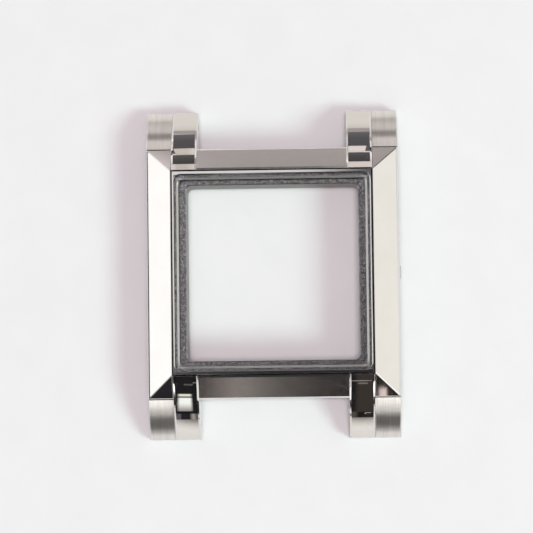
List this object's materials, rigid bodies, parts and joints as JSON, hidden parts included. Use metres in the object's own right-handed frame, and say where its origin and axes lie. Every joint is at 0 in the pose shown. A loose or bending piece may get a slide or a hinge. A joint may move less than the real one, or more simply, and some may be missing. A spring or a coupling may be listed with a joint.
{
  "type": "watch case",
  "caption": "Empty square watch case with sloping polished rails, paired polished and brushed lugs, a stepped crystal seat and a short crown tube.",
  "frame": {"origin": "centre of the case on the flat seat of the case back", "axes": "+Z out through the crystal side, +Y to 12 o'clock, +X to 3 o'clock (the crown side)"},
  "size_m": [0.0341, 0.0442, 0.009],
  "materials": {
    "machined_steel": "fine machined stainless steel, parallel tool marks on the seats",
    "polished_steel": "mirror-polished stainless steel",
    "brushed_steel": "stainless steel brushed along the strap",
    "satin_steel": "soft polished stainless steel with a slight haze",
    "tube_steel": "turned stainless steel",
    "screw_steel": "turned stainless steel"
  },
  "bodies": {
    "root": {"case_middle": "machined_steel", "crown_tube": "tube_steel", "end_bar_12": "satin_steel", "end_bar_6": "satin_steel", "frame_screws": "screw_steel", "lug_dowels": "screw_steel", "lug_inner_12_left": "polished_steel", "lug_inner_12_right": "polished_steel", "lug_inner_6_left": "polished_steel", "lug_inner_6_right": "polished_steel", "lug_outer_12_left": "brushed_steel", "lug_outer_12_right": "brushed_steel", "lug_outer_6_left": "brushed_steel", "lug_outer_6_right": "brushed_steel", "side_rail_left": "polished_steel", "side_rail_right": "polished_steel"}
  },
  "joints": []
}
